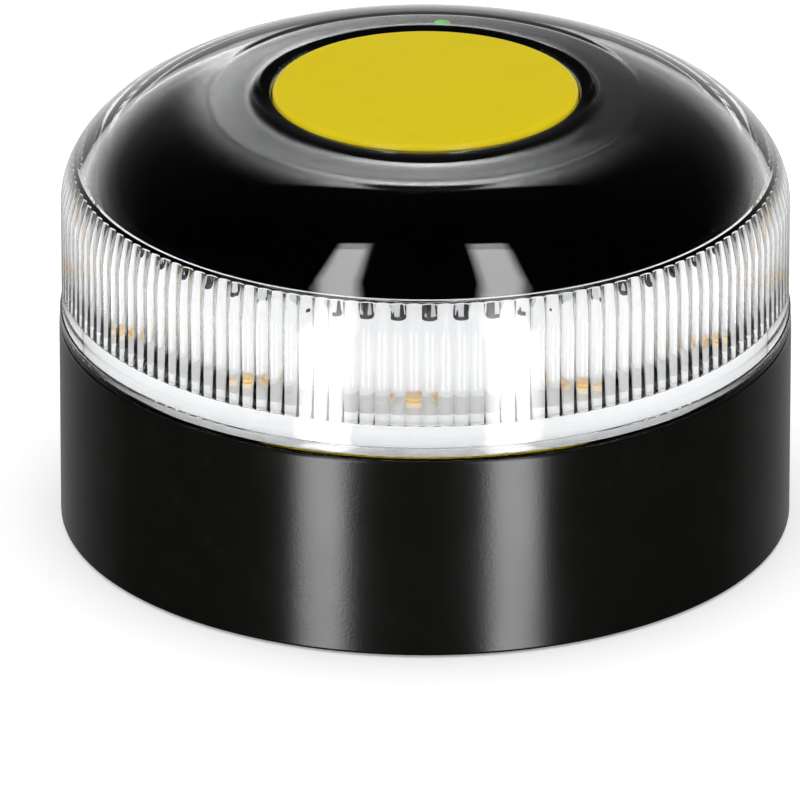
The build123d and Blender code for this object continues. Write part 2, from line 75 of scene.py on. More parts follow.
right = Vector((cos(CAMERA_TURN), sin(CAMERA_TURN), 0))
back = Vector(
    (sin(CAMERA_TURN) * cos(CAMERA_HEIGHT), -cos(CAMERA_TURN) * cos(CAMERA_HEIGHT), sin(CAMERA_HEIGHT))
)
up = back.cross(right)
body_wide = cad_high.x - cad_low.x

camera_data = bpy.data.cameras.new("camera")
camera_data.sensor_width = 36.0
camera_data.lens = camera_data.sensor_width * BODY_SHARE * CAMERA_DISTANCE / body_wide
camera = bpy.data.objects.new("camera", camera_data)
AIM_RIGHT, AIM_UP = -3.46, 14.2  # millimetres from the origin to the middle of the view
aim = right * AIM_RIGHT * MM + up * AIM_UP * MM
camera_axes = Matrix((right, up, back)).transposed().to_4x4()
camera.matrix_world = Matrix.Translation(aim + back * CAMERA_DISTANCE) @ camera_axes
scene.collection.objects.link(camera)
scene.camera = camera


def join(tree, output, target):
    tree.links.new(output, target)


def maths(tree, operation, *operands, clamp=False):
    """A Math node; each operand is a socket or a number."""
    node = tree.nodes.new("ShaderNodeMath")
    node.operation = operation
    node.use_clamp = clamp
    for socket, value in zip(node.inputs, operands):
        if isinstance(value, bpy.types.NodeSocket):
            join(tree, value, socket)
        else:
            socket.default_value = value
    return node.outputs[0]


def ramp(tree, factor, *stops):
    """A Color Ramp through (position, colour) stops."""
    node = tree.nodes.new("ShaderNodeValToRGB")
    join(tree, factor, node.inputs[0])
    while len(node.color_ramp.elements) < len(stops):
        node.color_ramp.elements.new(0.5)
    for element, (position, colour) in zip(node.color_ramp.elements, stops):
        element.position = position
        element.color = (*colour, 1) if len(colour) == 3 else colour
    return node.outputs[0]


def grey_ramp(tree, factor, *stops):
    return ramp(tree, factor, *((position, (shade,) * 3) for position, shade in stops))


def stretch(tree, value, low_to, high_to, low_from=0.3, high_from=0.7):
    """Map Range between two values or sockets, from the middle of a noise unless told otherwise."""
    node = tree.nodes.new("ShaderNodeMapRange")
    join(tree, value, node.inputs["Value"])
    limits = (("From Min", low_from), ("From Max", high_from), ("To Min", low_to), ("To Max", high_to))
    for name, given in limits:
        if isinstance(given, bpy.types.NodeSocket):
            join(tree, given, node.inputs[name])
        else:
            node.inputs[name].default_value = given
    return node.outputs["Result"]


world = bpy.data.worlds.new("surround")
world.use_nodes = True
world.cycles.sampling_method = "NONE"
scene.world = world
sky = world.node_tree
sky.nodes.clear()
path = sky.nodes.new("ShaderNodeLightPath").outputs
direction = sky.nodes.new("ShaderNodeTexCoord")
turned_direction = sky.nodes.new("ShaderNodeVectorRotate")
turned_direction.rotation_type = "Z_AXIS"
turned_direction.inputs["Angle"].default_value = -CAMERA_TURN
join(sky, direction.outputs["Generated"], turned_direction.inputs["Vector"])
split = sky.nodes.new("ShaderNodeSeparateXYZ")
join(sky, turned_direction.outputs[0], split.inputs[0])
sideways, away, upwards = split.outputs
height_share = maths(sky, "MULTIPLY_ADD", upwards, 0.5, 0.5)
rise = maths(sky, "DEGREES", maths(sky, "ARCSINE", upwards))
swing = maths(sky, "DEGREES", maths(sky, "ARCTAN2", sideways, away))


def at_rise(degrees_up):
    """Place of an angle above the horizon on a ramp that runs from straight down to straight up."""
    return 0.5 + 0.5 * sin(radians(degrees_up))


def glow_at(centre, spread):
    """Bell curve of the angle to either side of straight behind."""
    offset = maths(sky, "DIVIDE", maths(sky, "SUBTRACT", swing, centre), spread)
    return maths(sky, "EXPONENT", maths(sky, "MULTIPLY", maths(sky, "MULTIPLY", offset, offset), -1.0))


low_glow = grey_ramp(
    sky, height_share, (at_rise(-90), 0.2), (at_rise(-23), 0.26), (at_rise(-17), 0.8), (at_rise(-7), 0.9),
    (at_rise(3), 0.5), (at_rise(9), 0.24), (at_rise(14), 0.09), (at_rise(21), 0.02), (at_rise(60), 0.005),
)
behind = grey_ramp(sky, away, (0.0, 0.0), (0.3, 0.04), (0.62, 0.45), (0.92, 1.0))
first_mirror = maths(sky, "MULTIPLY_ADD", low_glow, behind, 0.002)

wall_glow = grey_ramp(
    sky, height_share, (at_rise(-90), 1.0), (at_rise(1), 1.0), (at_rise(8), 0.34), (at_rise(15), 0.1),
    (at_rise(30), 0.01), (at_rise(90), 0.0),
)
wall_side = maths(sky, "MAXIMUM", behind, maths(sky, "LESS_THAN", upwards, 0.0))
in_the_wall = maths(sky, "MULTIPLY", wall_glow, wall_side)

streak_spread = maths(sky, "MULTIPLY_ADD", maths(sky, "MAXIMUM", rise, 0.0), 0.08, 3.2)
streak_lean = maths(sky, "MULTIPLY_ADD", maths(sky, "MAXIMUM", rise, 10.0), -0.12, -5.3)
streak_height = grey_ramp(
    sky, height_share, (at_rise(15), 1.0), (at_rise(25), 0.66), (at_rise(35), 0.3), (at_rise(46), 0.0),
)
STREAK_LEVEL, CREASE_LEVEL = 4.8, 11.0
streak = maths(sky, "MULTIPLY", glow_at(streak_lean, streak_spread), streak_height)
streak = maths(sky, "MULTIPLY", streak, STREAK_LEVEL)
crease_height = grey_ramp(
    sky, height_share, (at_rise(28), 0.0), (at_rise(36), 0.35), (at_rise(44), 1.0), (at_rise(48), 1.0),
    (at_rise(49), 0.0),
)
crease_glow = maths(sky, "MULTIPLY", glow_at(0.0, 9.5), crease_height)
crease_glow = maths(sky, "MULTIPLY", crease_glow, CREASE_LEVEL)
haze_height = grey_ramp(sky, height_share, (at_rise(28), 0.35), (at_rise(44), 0.0))
haze = maths(sky, "MULTIPLY", glow_at(0.0, 14.0), haze_height)
on_the_dome = maths(sky, "ADD", first_mirror, maths(sky, "ADD", streak, maths(sky, "ADD", crease_glow, haze)))


def chosen(choice, otherwise, picked):
    node = sky.nodes.new("ShaderNodeMix")
    node.data_type = "FLOAT"
    join(sky, choice, node.inputs["Factor"])
    for name, value in (("A", otherwise), ("B", picked)):
        if isinstance(value, bpy.types.NodeSocket):
            join(sky, value, node.inputs[name])
        else:
            node.inputs[name].default_value = value
    return node.outputs["Result"]


entered = maths(sky, "GREATER_THAN", path["Transmission Depth"], 0.5)
through_both = maths(sky, "GREATER_THAN", path["Transmission Depth"], 3.5)
came_out = maths(sky, "GREATER_THAN", path["Transmission Depth"], 1.5)
scattered = maths(sky, "GREATER_THAN", path["Diffuse Depth"], 0.5)
mirrored = maths(sky, "GREATER_THAN", path["Glossy Depth"], 0.5)
OPEN_LIGHT, LENS_LIGHT = 1.08, 3.0  # even light on open surfaces, and on those inside the lens
gloss_level = chosen(through_both, chosen(entered, first_mirror, in_the_wall), on_the_dome)
open_level = chosen(mirrored, OPEN_LIGHT, gloss_level)
lens_level = chosen(came_out, OPEN_LIGHT, LENS_LIGHT)
surround = sky.nodes.new("ShaderNodeBackground")
surround.inputs["Color"].default_value = (1.0, 1.0, 1.0, 1.0)
join(sky, chosen(scattered, open_level, lens_level), surround.inputs["Strength"])
sky_out = sky.nodes.new("ShaderNodeOutputWorld")
join(sky, surround.outputs[0], sky_out.inputs["Surface"])


def mesh_piece(name, points, faces):
    """A mesh object in the scene from points in metres."""
    mesh = bpy.data.meshes.new(name)
    mesh.from_pydata(points, [], faces)
    mesh.validate()
    piece = bpy.data.objects.new(name, mesh)
    scene.collection.objects.link(piece)
    return piece


def bare_material(name):
    """A material with only its output and a Principled shader, and the two nodes that matter."""
    material = bpy.data.materials.new(name)
    material.use_nodes = True
    tree = material.node_tree
    tree.nodes.clear()
    shader = tree.nodes.new("ShaderNodeBsdfPrincipled")
    output = tree.nodes.new("ShaderNodeOutputMaterial")
    join(tree, shader.outputs[0], output.inputs["Surface"])
    return material, tree, shader


FLOOR_HALF = 3.0
floor = mesh_piece(
    "floor",
    [(x * FLOOR_HALF, y * FLOOR_HALF, 0) for x, y in ((-1, -1), (1, -1), (1, 1), (-1, 1))],
    [(0, 1, 2, 3)],
)
floor_material, floor_tree, floor_shader = bare_material("floor_paper")
floor_shader.inputs["Base Color"].default_value = (0.99, 0.99, 0.99, 1)
floor_shader.inputs["Roughness"].default_value = 0.9
floor_shader.inputs["Specular IOR Level"].default_value = 0.0
floor_shader.inputs["Emission Color"].default_value = (1.0, 1.0, 1.0, 1)
floor_shader.inputs["Emission Strength"].default_value = 0.22
floor.data.materials.append(floor_material)
floor.visible_glossy = False
floor.visible_transmission = False
floor.visible_shadow = False


def softbox(name, knots, steps=32):
    """A glowing panel with soft sides; each knot gives its rise, centre and half-width in degrees."""
    reach = 1.2
    columns = ((-1.0, 0.0), (-0.55, 1.0), (0.55, 1.0), (1.0, 0.0))
    points, faces, glows = [], [], []
    for i in range(steps + 1):
        rises, centres, halves = zip(*knots)
        turn = rises[0] + (rises[-1] - rises[0]) * i / steps
        centre, half = interp(turn, rises, centres), interp(turn, rises, halves)
        for column, glow in columns:
            side = radians(centre + half * column)
            around_x = Vector((sin(side), -cos(side) * cos(radians(turn)), cos(side) * sin(radians(turn))))
            points.append((Matrix.Rotation(CAMERA_TURN, 3, "Z") @ around_x) * reach)
            glows.append(glow)
    width = len(columns)
    for i in range(steps):
        for j in range(width - 1):
            corner = width * i + j
            faces.append((corner, corner + 1, corner + width + 1, corner + width))
    panel = mesh_piece(name, points, faces)
    panel.data.attributes.new("glow", "FLOAT", "POINT").data.foreach_set("value", glows)
    material = bpy.data.materials.new(name)
    material.use_nodes = True
    tree = material.node_tree
    tree.nodes.clear()
    light = tree.nodes.new("ShaderNodeEmission")
    output = tree.nodes.new("ShaderNodeOutputMaterial")
    soft_side = tree.nodes.new("ShaderNodeAttribute")
    soft_side.attribute_name = "glow"
    place = tree.nodes.new("ShaderNodeSeparateXYZ")
    join(tree, tree.nodes.new("ShaderNodeTexCoord").outputs["Object"], place.inputs[0])
    strength = stretch(tree, place.outputs["Z"], 8.6, 3.2, -0.2, 0.5)
    first_bounce = tree.nodes.new("ShaderNodeLightPath")
    direct = maths(tree, "LESS_THAN", first_bounce.outputs["Diffuse Depth"], 0.5)
    shown = maths(tree, "MULTIPLY", maths(tree, "MULTIPLY", soft_side.outputs["Fac"], strength), direct)
    join(tree, shown, light.inputs["Strength"])
    join(tree, light.outputs[0], output.inputs["Surface"])
    panel.data.materials.append(material)
    panel.visible_camera = False
    panel.visible_diffuse = False


softbox("panel_left", ((-29, -30, 8.6), (52, -23, 7.0), (88, -12.5, 3.4)))
softbox("panel_right", ((-29, 25.6, 8.6), (52, 20.2, 7.2), (88, 11, 4.2)))

# ---------------------------------------------------------------------------------------------
# Moulded black plastic. The drum, lock ring, plates and tray are injection moulded with a fine
# spark-eroded skin, so they share one grain: tiny pits for the bump and slow drifts in gloss.
# ---------------------------------------------------------------------------------------------
def group_socket(tree, name, direction, kind="NodeSocketFloat", value=None):
    socket = tree.interface.new_socket(name=name, in_out=direction, socket_type=kind)
    if value is not None:
        socket.default_value = value
    return socket


def noise(tree, vector, scale, detail=2.0, rough=0.5):
    node = tree.nodes.new("ShaderNodeTexNoise")
    node.inputs["Detail"].default_value = detail
    node.inputs["Roughness"].default_value = rough
    join(tree, vector, node.inputs["Vector"])
    if isinstance(scale, bpy.types.NodeSocket):
        join(tree, scale, node.inputs["Scale"])
    else:
        node.inputs["Scale"].default_value = scale
    return node.outputs["Fac"]


moulded_skin = bpy.data.node_groups.new("moulded_skin", "ShaderNodeTree")
group_socket(moulded_skin, "Grain", "INPUT", value=2600.0)
group_socket(moulded_skin, "Smoothest", "INPUT", value=0.28)
group_socket(moulded_skin, "Roughest", "INPUT", value=0.36)
group_socket(moulded_skin, "Height", "OUTPUT")
group_socket(moulded_skin, "Roughness", "OUTPUT")
group_socket(moulded_skin, "Handling", "OUTPUT")
skin_in = moulded_skin.nodes.new("NodeGroupInput")
skin_out = moulded_skin.nodes.new("NodeGroupOutput")
skin_at = moulded_skin.nodes.new("ShaderNodeTexCoord").outputs["Object"]
pits = noise(moulded_skin, skin_at, skin_in.outputs["Grain"], 3.0, 0.6)
drift = noise(moulded_skin, skin_at, 60.0, 4.0, 0.55)
smears = noise(moulded_skin, skin_at, 210.0, 5.0, 0.65)
join(moulded_skin, pits, skin_out.inputs["Height"])
join(
    moulded_skin,
    stretch(moulded_skin, drift, skin_in.outputs["Smoothest"], skin_in.outputs["Roughest"]),
    skin_out.inputs["Roughness"],
)
join(moulded_skin, stretch(moulded_skin, smears, 0.0, 1.0, 0.52, 0.75), skin_out.inputs["Handling"])

edge_rub = bpy.data.node_groups.new("edge_rub", "ShaderNodeTree")
group_socket(edge_rub, "Amount", "INPUT", value=0.5)
group_socket(edge_rub, "Mask", "OUTPUT")
rub_in = edge_rub.nodes.new("NodeGroupInput")
rub_out = edge_rub.nodes.new("NodeGroupOutput")
rub_at = edge_rub.nodes.new("ShaderNodeTexCoord").outputs["Object"]
corner = edge_rub.nodes.new("ShaderNodeNewGeometry").outputs["Pointiness"]
sharpness = stretch(edge_rub, corner, 0.0, 1.0, 0.51, 0.58)
patchy = stretch(edge_rub, noise(edge_rub, rub_at, 320.0, 4.0, 0.7), 0.0, 1.0, 0.4, 0.65)
rubbed = maths(edge_rub, "MULTIPLY", sharpness, patchy)
rub_amount = maths(edge_rub, "MULTIPLY", rubbed, rub_in.outputs["Amount"], clamp=True)
join(edge_rub, rub_amount, rub_out.inputs["Mask"])

settled_dust = bpy.data.node_groups.new("settled_dust", "ShaderNodeTree")
group_socket(settled_dust, "Amount", "INPUT", value=0.3)
group_socket(settled_dust, "Mask", "OUTPUT")
dust_in = settled_dust.nodes.new("NodeGroupInput")
dust_out = settled_dust.nodes.new("NodeGroupOutput")
dust_at = settled_dust.nodes.new("ShaderNodeTexCoord")
upright = settled_dust.nodes.new("ShaderNodeSeparateXYZ")
join(settled_dust, dust_at.outputs["Normal"], upright.inputs[0])
specks = settled_dust.nodes.new("ShaderNodeTexVoronoi")
specks.inputs["Scale"].default_value = 420.0
join(settled_dust, dust_at.outputs["Object"], specks.inputs["Vector"])
speck = stretch(settled_dust, specks.outputs["Distance"], 1.0, 0.0, 0.03, 0.09)
facing_up = maths(settled_dust, "MULTIPLY", upright.outputs["Z"], speck, clamp=True)
dust_amount = maths(settled_dust, "MULTIPLY", facing_up, dust_in.outputs["Amount"])
join(settled_dust, dust_amount, dust_out.inputs["Mask"])


def place_group(tree, group, **values):
    node = tree.nodes.new("ShaderNodeGroup")
    node.node_tree = group
    for name, value in values.items():
        node.inputs[name].default_value = value
    return node


def mixed(tree, factor, first, second):
    """Colour mix between two colours or sockets by a factor."""
    node = tree.nodes.new("ShaderNodeMix")
    node.data_type = "RGBA"
    join(tree, factor, node.inputs["Factor"])
    for slot, value in ((6, first), (7, second)):
        if isinstance(value, bpy.types.NodeSocket):
            join(tree, value, node.inputs[slot])
        else:
            node.inputs[slot].default_value = (*value, 1)
    return node.outputs[2]


def bumped(tree, shader, height, depth):
    """Feeds a height through a Bump node into the shader's normal."""
    bump = tree.nodes.new("ShaderNodeBump")
    bump.inputs["Distance"].default_value = depth
    join(tree, height, bump.inputs["Height"])
    join(tree, bump.outputs["Normal"], shader.inputs["Normal"])


def moulded_plastic(name, colour, worn, smoothest, roughest, grain=2600.0, depth=0.00003, rub=0.5, gloss=0.5):
    """Opaque moulded plastic with a grained skin, rubbed edges and faint handling marks."""
    material, tree, shader = bare_material(name)
    skin = place_group(tree, moulded_skin, Grain=grain, Smoothest=smoothest, Roughest=roughest)
    rubbing = place_group(tree, edge_rub, Amount=rub)
    tint = maths(tree, "MULTIPLY", skin.outputs["Handling"], 0.25)
    handled = mixed(tree, tint, colour, worn)
    join(tree, mixed(tree, rubbing.outputs["Mask"], handled, worn), shader.inputs["Base Color"])
    join(tree, skin.outputs["Roughness"], shader.inputs["Roughness"])
    shader.inputs["Specular IOR Level"].default_value = gloss
    bumped(tree, shader, skin.outputs["Height"], depth)
    return material


def finish(material, *names):
    """Gives CAD nodes a material."""
    for name in names:
        for place in nodes[name].material_slots:
            place.material = material


black_satin = moulded_plastic(
    "black_satin", (0.0048, 0.0049, 0.0041), (0.016, 0.016, 0.015), 0.15, 0.19, depth=0.000008
)
black_moulding = moulded_plastic("black_moulding", (0.018, 0.018, 0.019), (0.06, 0.06, 0.06), 0.45, 0.62)
finish(black_satin, "lock_ring", "base_housing")
finish(black_moulding, "ring_retainer", "base_plate", "battery_tray")

# ---------------------------------------------------------------------------------------------
# Rubber foot, magnet cover and seals. Die-cut and moulded rubber, matt and slightly bloomed,
# glued under the retainer or stretched into grooves; the lens gasket is pale silicone.
# ---------------------------------------------------------------------------------------------
def rubber(name, colour, bloom, smoothest, roughest):
    material, tree, shader = bare_material(name)
    skin = place_group(tree, moulded_skin, Grain=1500.0, Smoothest=smoothest, Roughest=roughest)
    join(tree, mixed(tree, skin.outputs["Handling"], colour, bloom), shader.inputs["Base Color"])
    join(tree, skin.outputs["Roughness"], shader.inputs["Roughness"])
    bumped(tree, shader, skin.outputs["Height"], 0.00006)
    return material


finish(rubber("foot_rubber", (0.02, 0.02, 0.021), (0.05, 0.05, 0.05), 0.7, 0.9), "foot_pad", "magnet_pad")
finish(rubber("seal_rubber", (0.012, 0.012, 0.012), (0.03, 0.03, 0.03), 0.4, 0.6), "base_seal", "button_seal")
finish(rubber("gasket_silicone", (0.5, 0.5, 0.5), (0.6, 0.6, 0.6), 0.35, 0.5), "lens_seal")


# ---------------------------------------------------------------------------------------------
# Bright metal. Nickelled magnet, contact strips and shield can, zinc-plated screws, spring wire
# and gilded supply pins; each is drawn, stamped or turned, so it carries fine directional marks.
# ---------------------------------------------------------------------------------------------
def bright_metal(name, colour, dull, smoothest, roughest, scale=(400.0, 400.0, 6000.0), depth=0.000006):
    material, tree, shader = bare_material(name)
    shader.inputs["Metallic"].default_value = 1.0
    place = tree.nodes.new("ShaderNodeTexCoord").outputs["Object"]
    mapping = tree.nodes.new("ShaderNodeMapping")
    mapping.inputs["Scale"].default_value = scale
    join(tree, place, mapping.inputs["Vector"])
    marks = noise(tree, mapping.outputs[0], 1.0, 3.0, 0.6)
    stains = noise(tree, place, 180.0, 4.0, 0.6)
    stained = stretch(tree, stains, 0.0, 1.0, 0.45, 0.8)
    join(tree, mixed(tree, stained, colour, dull), shader.inputs["Base Color"])
    join(tree, stretch(tree, marks, smoothest, roughest), shader.inputs["Roughness"])
    bumped(tree, shader, marks, depth)
    return material


nickel = bright_metal("nickel_plate", (0.66, 0.63, 0.58), (0.42, 0.4, 0.37), 0.14, 0.3)
zinc = bright_metal("zinc_plate", (0.6, 0.61, 0.62), (0.38, 0.38, 0.38), 0.22, 0.4)
spring_wire = bright_metal("spring_wire", (0.62, 0.62, 0.61), (0.4, 0.4, 0.4), 0.15, 0.28)
gilt = bright_metal("gilt_pin", (0.95, 0.68, 0.28), (0.7, 0.46, 0.16), 0.12, 0.25)
finish(nickel, "magnet", "link_plates", "terminal_plates", "modem_shield")
finish(
    zinc, "retainer_screws", "tray_screws", "board_screws", "button_board_screws", "carrier_screws",
    "reflector_screws", "shroud_screws",
)
finish(spring_wire, "contact_spring_1", "contact_spring_2", "contact_spring_3", "button_spring")
finish(gilt, "supply_pins")

# ---------------------------------------------------------------------------------------------
# Cells. Three AA cans in a shrunk printed sleeve, gold over dark blue with a pale band, no
# lettering; the bare steel shows at the nub end and the crimped base.
# ---------------------------------------------------------------------------------------------
for number, side in ((1, 1), (2, -1), (3, 1)):
    low_corner, high_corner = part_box(f"cell_{number}")
    length = high_corner.x - low_corner.x
    back_x = low_corner.x if side > 0 else high_corner.x
    jacket, tree, shader = bare_material(f"cell_jacket_{number}")
    place = tree.nodes.new("ShaderNodeTexCoord").outputs["Object"]
    along = tree.nodes.new("ShaderNodeSeparateXYZ")
    join(tree, place, along.inputs[0])
    share = maths(tree, "MULTIPLY", maths(tree, "SUBTRACT", along.outputs["X"], back_x), side / length)
    steel = (0.55, 0.54, 0.52)
    pale = (0.9, 0.9, 0.88)
    bands = ramp(
        tree, share, (0.0, steel), (0.006, (0.75, 0.5, 0.12)), (0.2, (0.78, 0.52, 0.13)), (0.205, pale),
        (0.225, pale), (0.23, (0.01, 0.03, 0.2)), (0.955, (0.012, 0.035, 0.24)), (0.962, steel),
    )
    bands.node.color_ramp.interpolation = "CONSTANT"
    join(tree, bands, shader.inputs["Base Color"])
    bare_steel = ramp(tree, share, (0.0, (1.0,) * 3), (0.006, (0.15,) * 3), (0.962, (1.0,) * 3))
    bare_steel.node.color_ramp.interpolation = "CONSTANT"
    join(tree, bare_steel, shader.inputs["Metallic"])
    skin = place_group(tree, moulded_skin, Grain=900.0, Smoothest=0.2, Roughest=0.34)
    join(tree, skin.outputs["Roughness"], shader.inputs["Roughness"])
    bumped(tree, shader, skin.outputs["Height"], 0.00001)
    finish(jacket, f"cell_{number}")


# ---------------------------------------------------------------------------------------------
# Circuit boards. Glass-epoxy discs, green solder resist on the main and button boards and white
# on the lamp board, with faint copper runs showing through the resist.
# ---------------------------------------------------------------------------------------------
def circuit_board(name, resist, copper):
    material, tree, shader = bare_material(name)
    place = tree.nodes.new("ShaderNodeTexCoord").outputs["Object"]
    cells = tree.nodes.new("ShaderNodeTexVoronoi")
    cells.distance = "MANHATTAN"
    cells.feature = "F2"
    cells.inputs["Scale"].default_value = 180.0
    join(tree, place, cells.inputs["Vector"])
    runs = stretch(tree, cells.outputs["Distance"], 0.0, 1.0, 0.5, 0.56)
    join(tree, mixed(tree, runs, resist, copper), shader.inputs["Base Color"])
    weave = noise(tree, place, 900.0, 3.0, 0.6)
    join(tree, stretch(tree, weave, 0.25, 0.42), shader.inputs["Roughness"])
    bumped(tree, shader, maths(tree, "ADD", runs, maths(tree, "MULTIPLY", weave, 0.3)), 0.00003)
    return material


finish(circuit_board("green_board", (0.008, 0.09, 0.035), (0.02, 0.16, 0.07)), "main_board", "button_board")
finish(circuit_board("white_board", (0.88, 0.88, 0.87), (0.82, 0.82, 0.81)), "led_board")
finish(
    moulded_plastic("chip_epoxy", (0.02, 0.02, 0.022), (0.06, 0.06, 0.06), 0.5, 0.65),
    "controller_chip", "link_header", "switch_body", "switch_plunger",
)
finish(moulded_plastic("patch_ceramic", (0.62, 0.52, 0.38), (0.7, 0.62, 0.5), 0.4, 0.6), "gnss_antenna")

# ---------------------------------------------------------------------------------------------
# White ring and reflector cone. Titanium-white moulded plastic behind the flutes; the ring
# stands on the deck and shows as the plain band under them, the cone throws light outwards.
# ---------------------------------------------------------------------------------------------
white_plastic = moulded_plastic(
    "white_plastic", (0.91, 0.915, 0.92), (0.86, 0.86, 0.86), 0.35, 0.5, depth=0.00002, rub=0.1
)
finish(white_plastic, "reflector", "led_carrier", "comb_ring")

# ---------------------------------------------------------------------------------------------
# Lamps. Surface-mounted chips with an amber phosphor window in a white case on the lamp board,
# and one small green chip under the light pipe on the button board.
# ---------------------------------------------------------------------------------------------
amber, tree, shader = bare_material("amber_chip")
top_of_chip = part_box("led_chips")[1].z
height = tree.nodes.new("ShaderNodeSeparateXYZ")
join(tree, tree.nodes.new("ShaderNodeTexCoord").outputs["Object"], height.inputs[0])
window = maths(tree, "GREATER_THAN", height.outputs["Z"], top_of_chip - 0.5 * MM)
phosphor_skin = place_group(tree, moulded_skin, Grain=3000.0, Smoothest=0.25, Roughest=0.45)
join(tree, mixed(tree, window, (0.9, 0.78, 0.58), (0.95, 0.66, 0.3)), shader.inputs["Base Color"])
join(tree, phosphor_skin.outputs["Roughness"], shader.inputs["Roughness"])
bumped(tree, shader, phosphor_skin.outputs["Height"], 0.00002)
finish(amber, "led_chips")

green_light, tree, shader = bare_material("green_light")
green_skin = place_group(tree, moulded_skin, Grain=2000.0, Smoothest=0.08, Roughest=0.16)
shader.inputs["Base Color"].default_value = (0.05, 0.42, 0.02, 1)
shader.inputs["Emission Color"].default_value = (0.06, 0.6, 0.03, 1)
shader.inputs["Emission Strength"].default_value = 0.55
join(tree, green_skin.outputs["Roughness"], shader.inputs["Roughness"])
bumped(tree, shader, green_skin.outputs["Height"], 0.00002)
finish(green_light, "status_led")

# ---------------------------------------------------------------------------------------------
# Black inner dome. Piano-black moulding, polished outside, that fills the clear dome except for
# a hair of air, with the button well in its middle.
# ---------------------------------------------------------------------------------------------
SHOULDER_R, SHOULDER_Z = 22.0, 46.0
LENS_INNER_R, INNER_RISE = 47.0, 14.5
MOUTH_R = 21.02
INNER_CREASE_R, CONE_SLOPE = 28.9, 0.0575  # inside this radius both domes end in a nearly flat cone


def ellipse(reach, rise, z_from, z_to, steps):
    """Points of a dome's quarter ellipse in millimetres, evenly spread in its own angle."""
    turn_from = atan2((z_from - SHOULDER_Z) / rise, sqrt(1 - ((z_from - SHOULDER_Z) / rise) ** 2))
    turn_to = atan2((z_to - SHOULDER_Z) / rise, sqrt(max(0.0, 1 - ((z_to - SHOULDER_Z) / rise) ** 2)))
    turns = [turn_from + (turn_to - turn_from) * i / steps for i in range(steps + 1)]
    return [(SHOULDER_R + reach * cos(t), SHOULDER_Z + rise * sin(t)) for t in turns]


def crease_height_of(reach, rise, crease_r):
    """Height in millimetres at which a dome's quarter ellipse reaches the radius of its crease."""
    return SHOULDER_Z + rise * sqrt(1 - ((crease_r - SHOULDER_R) / reach) ** 2)


def dome_outline(reach, rise, z_from, steps):
    """Outline from a height on the quarter ellipse up to the crease and along the cone to the mouth."""
    crease = crease_height_of(reach, rise, INNER_CREASE_R)
    mouth = crease + CONE_SLOPE * (INNER_CREASE_R - MOUTH_R)
    cone = [(24.5, crease + CONE_SLOPE * 4.4), (MOUTH_R + 0.2, mouth)]
    return ellipse(reach, rise, z_from, crease, steps) + cone


def turned_piece(name, outline, around=288, shape=None):
    """A closed outline in millimetres turned about Z; shape may change a point's radius by angle."""
    points, faces = [], []
    count = len(outline)
    for i in range(around):
        angle = 2 * pi * i / around
        for index, (radius, height_) in enumerate(outline):
            reach = shape(index, radius, angle) if shape else radius
            points.append((reach * MM * cos(angle), reach * MM * sin(angle), height_ * MM))
    for i in range(around):
        here, there = i * count, (i + 1) % around * count
        for index in range(count):
            after = (index + 1) % count
            faces.append((here + index, there + index, there + after, here + after))
    piece = mesh_piece(name, points, faces)
    piece.data.shade_smooth()
    piece.data.set_sharp_from_angle(angle=radians(28))
    return piece


SHROUD_GAP, SHROUD_WALL = 0.2, 1.8
SHROUD_REACH = LENS_INNER_R - SHOULDER_R - SHROUD_GAP
SHROUD_RISE = INNER_RISE - SHROUD_GAP
SHROUD_LOW = 50.45
shroud_outer = dome_outline(SHROUD_REACH, SHROUD_RISE, SHROUD_LOW, 40)
shroud_inner = ellipse(SHROUD_REACH - SHROUD_WALL, SHROUD_RISE - SHROUD_WALL, SHROUD_LOW, 58.2, 30)
well = [
    (MOUTH_R + 0.06, 60.12), (MOUTH_R, 59.95), (MOUTH_R, 55.6), (MOUTH_R - 0.1, 55.5),
    (3.4, 55.5), (3.3, 55.4), (3.3, 54.0), (22.5, 54.0), (22.6, 54.1), (22.6, 58.0),
]
shroud = turned_piece("black_dome", shroud_outer + well + shroud_inner[::-1])
shroud_gloss, tree, shader = bare_material("piano_black")
shroud_skin = place_group(tree, moulded_skin, Grain=240.0, Smoothest=0.03, Roughest=0.05)
specks_here = place_group(tree, settled_dust, Amount=0.5)
join(
    tree,
    mixed(tree, specks_here.outputs["Mask"], (0.0006, 0.0006, 0.0008), (0.02, 0.02, 0.02)),
    shader.inputs["Base Color"],
)
join(tree, shroud_skin.outputs["Roughness"], shader.inputs["Roughness"])
bumped(tree, shader, shroud_skin.outputs["Height"], 0.000004)
shroud.data.materials.append(shroud_gloss)
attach(shroud, "housing")
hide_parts("top_shroud")

# ---------------------------------------------------------------------------------------------
# Comb. Painted groove shade on the comb ring's teeth, which hang below the black dome's edge:
# three thin upright black strips on each tooth face, painted as the shade in its grooves, and a
# black bar along the bottom of each tooth, painted as the shade under it.
# ---------------------------------------------------------------------------------------------
TEETH, TOOTH_START = 72, 0.6
TOOTH_FACE = 45.1  # outer face of a tooth
# Painted groove shade: the black strips and bar that stand for the shade in each tooth's grooves and under
# it.
SHADE_STRIP_R0, SHADE_STRIP_R1 = TOOTH_FACE - 0.1, TOOTH_FACE + 0.16
SHADE_BAR_LOW, SHADE_BAR_HIGH, SHADE_STRIP_HIGH = 47.0, 47.3, 49.0
SHADE_BAR_HALF, SHADE_STRIP_HALF, SHADE_STRIP_PITCH = 0.7, 0.085, 0.42


def box_corners(low, high):
    """The eight corners and six faces of a plain block."""
    corners = [(x, y, z) for z in (low[2], high[2]) for y in (low[1], high[1]) for x in (low[0], high[0])]
    sides = [(0, 2, 3, 1), (4, 5, 7, 6), (0, 1, 5, 4), (2, 6, 7, 3), (0, 4, 6, 2), (1, 3, 7, 5)]
    return corners, sides


